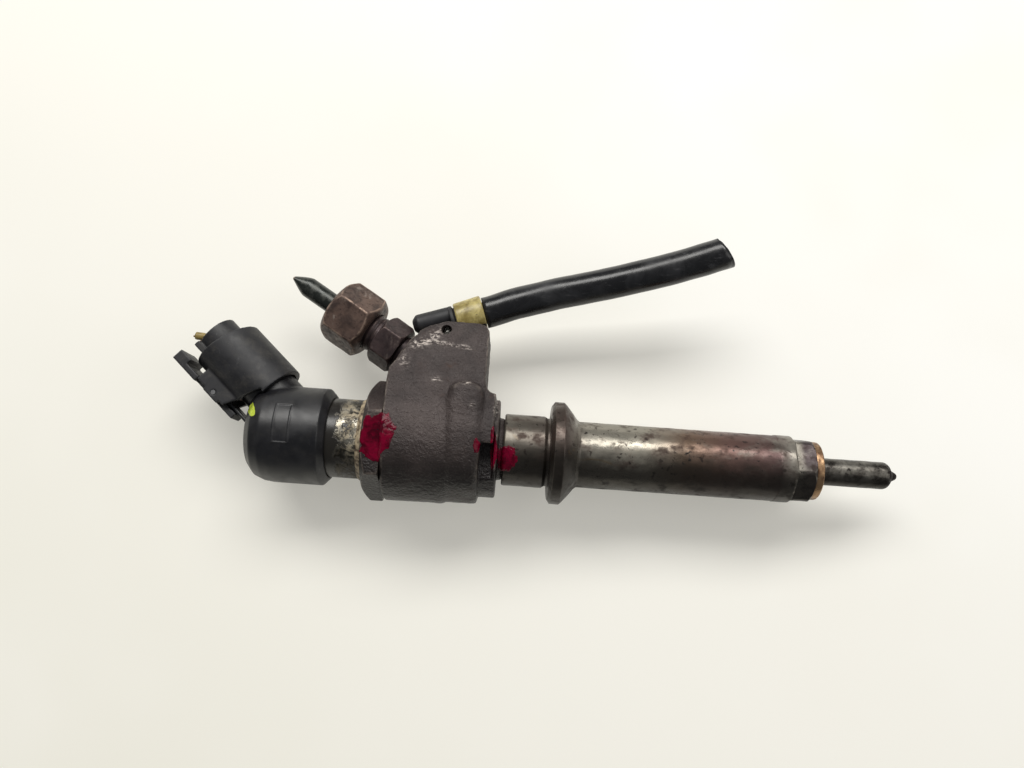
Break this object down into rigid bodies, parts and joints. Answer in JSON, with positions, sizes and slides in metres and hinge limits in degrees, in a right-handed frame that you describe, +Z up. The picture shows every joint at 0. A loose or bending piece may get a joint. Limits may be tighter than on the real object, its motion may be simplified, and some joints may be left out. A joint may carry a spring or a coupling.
{
  "type": "common-rail diesel fuel injector",
  "caption": "Piezo common-rail diesel fuel injector lying on its side, with copper seat washer, cut inlet pipe and union nut, return hose stub and wiring plug.",
  "frame": {"origin": "on the injector axis at the front face of the copper seat washer", "axes": "+X along the injector axis toward the nozzle tip, +Y toward the head fin with the fuel connections, +Z up as it lies on its side"},
  "size_m": [0.1892, 0.0731, 0.03],
  "materials": {
    "forged_steel": "matte",
    "stained_steel": "satin",
    "nozzle_steel": "satin",
    "ground_steel": "satin",
    "spring_steel": "satin",
    "rusty_steel": "matte",
    "pipe_steel": "satin",
    "copper": "satin",
    "piezo_ceramic": "matte",
    "black_plastic": "satin",
    "grey_plastic": "satin",
    "collar_plastic": "satin",
    "seal_rubber": "matte",
    "red_seal": "matte",
    "hose_rubber": "satin",
    "contact_metal": "satin",
    "wire_yellow_pvc": "satin",
    "wire_red_pvc": "satin"
  },
  "bodies": {
    "injector": {"injector_body": "forged_steel", "nozzle_retaining_nut": "stained_steel", "nozzle_body": "nozzle_steel", "nozzle_spring": "spring_steel", "spring_shim": "ground_steel", "spring_housing": "nozzle_steel", "stop_plate": "ground_steel", "dowel_pins": "ground_steel", "piston_sleeve": "ground_steel", "copper_washer": "copper", "valve_seat_plate": "ground_steel", "valve_spring": "spring_steel", "lever_base_plate": "nozzle_steel", "actuator_housing": "nozzle_steel", "piezo_stack": "piezo_ceramic", "preload_tube": "spring_steel", "piezo_end_plate": "nozzle_steel", "actuator_nut": "forged_steel", "housing_oring": "seal_rubber", "connector_cap": "black_plastic", "terminal_pins": "contact_metal", "inlet_stud": "rusty_steel", "edge_filter": "ground_steel", "leak_nipple": "contact_metal", "leak_connector": "black_plastic", "connector_oring": "seal_rubber", "retaining_collar": "collar_plastic", "return_hose": "hose_rubber"},
    "needle": {"nozzle_needle": "ground_steel", "spring_seat": "ground_steel", "control_piston": "ground_steel"},
    "actuator_foot": {"piezo_foot": "nozzle_steel"},
    "valve": {"control_valve": "ground_steel"},
    "lever_a": {"stroke_lever_a": "ground_steel"},
    "lever_b": {"stroke_lever_b": "ground_steel"},
    "plug": {"plug_sleeve": "black_plastic", "plug_core": "grey_plastic", "plug_seal": "red_seal", "plug_terminals": "contact_metal", "wire_seals": "seal_rubber", "wire_yellow": "wire_yellow_pvc", "wire_red": "wire_red_pvc", "lever_pin": "ground_steel"},
    "lock_lever": {"lock_lever": "black_plastic"},
    "pipe": {"pipe_stub": "pipe_steel", "thrust_ring": "nozzle_steel"},
    "union_nut": {"union_nut": "rusty_steel"}
  },
  "joints": [
    {"name": "needle_lift", "type": "slide", "parent": "injector", "child": "needle", "axis": [-1, 0, 0], "range_m": [0, 0.00025], "stiffness_N_per_m": 500},
    {"name": "piezo_stroke", "type": "slide", "parent": "injector", "child": "actuator_foot", "axis": [1, 0, 0], "range_m": [0, 0.00003], "stiffness_N_per_m": 500},
    {"name": "valve_stroke", "type": "slide", "parent": "injector", "child": "valve", "axis": [1, 0, 0], "range_m": [0, 0.00005]},
    {"name": "lever_a_tilt", "type": "hinge", "parent": "injector", "child": "lever_a", "pos_m": [-0.1051, 0.0056, 0], "axis": [0, 0, 1], "range_deg": [0, 0.6]},
    {"name": "lever_b_tilt", "type": "hinge", "parent": "injector", "child": "lever_b", "pos_m": [-0.1051, -0.0056, 0], "axis": [0, 0, -1], "range_deg": [0, 0.6]},
    {"name": "plug_slide", "type": "slide", "parent": "injector", "child": "plug", "axis": [-0.7431, 0.6691, 0], "range_m": [0, 0.018]},
    {"name": "lock_press", "type": "hinge", "parent": "plug", "child": "lock_lever", "pos_m": [-0.15598, 0.00894, 0], "axis": [0, 0, -1], "range_deg": [0, 7], "stiffness_Nm_per_rad": 0.05},
    {"name": "nut_turn", "type": "hinge", "parent": "pipe", "child": "union_nut", "pos_m": [-0.11, 0.0241, 0], "axis": [-0.8572, 0.515, 0], "range_deg": [0, 1980]},
    {"name": "pipe_back", "type": "slide", "parent": "injector", "child": "pipe", "axis": [-0.8572, 0.515, 0], "range_m": [0, 0.00826]}
  ],
  "couplings": [
    {"joint": "valve_stroke", "follows": "piezo_stroke", "ratio": 1.66},
    {"joint": "lever_a_tilt", "follows": "piezo_stroke", "rad_per_m": 333},
    {"joint": "lever_b_tilt", "follows": "piezo_stroke", "rad_per_m": 333},
    {"joint": "pipe_back", "follows": "nut_turn", "m_per_rad": 0.00023873}
  ]
}
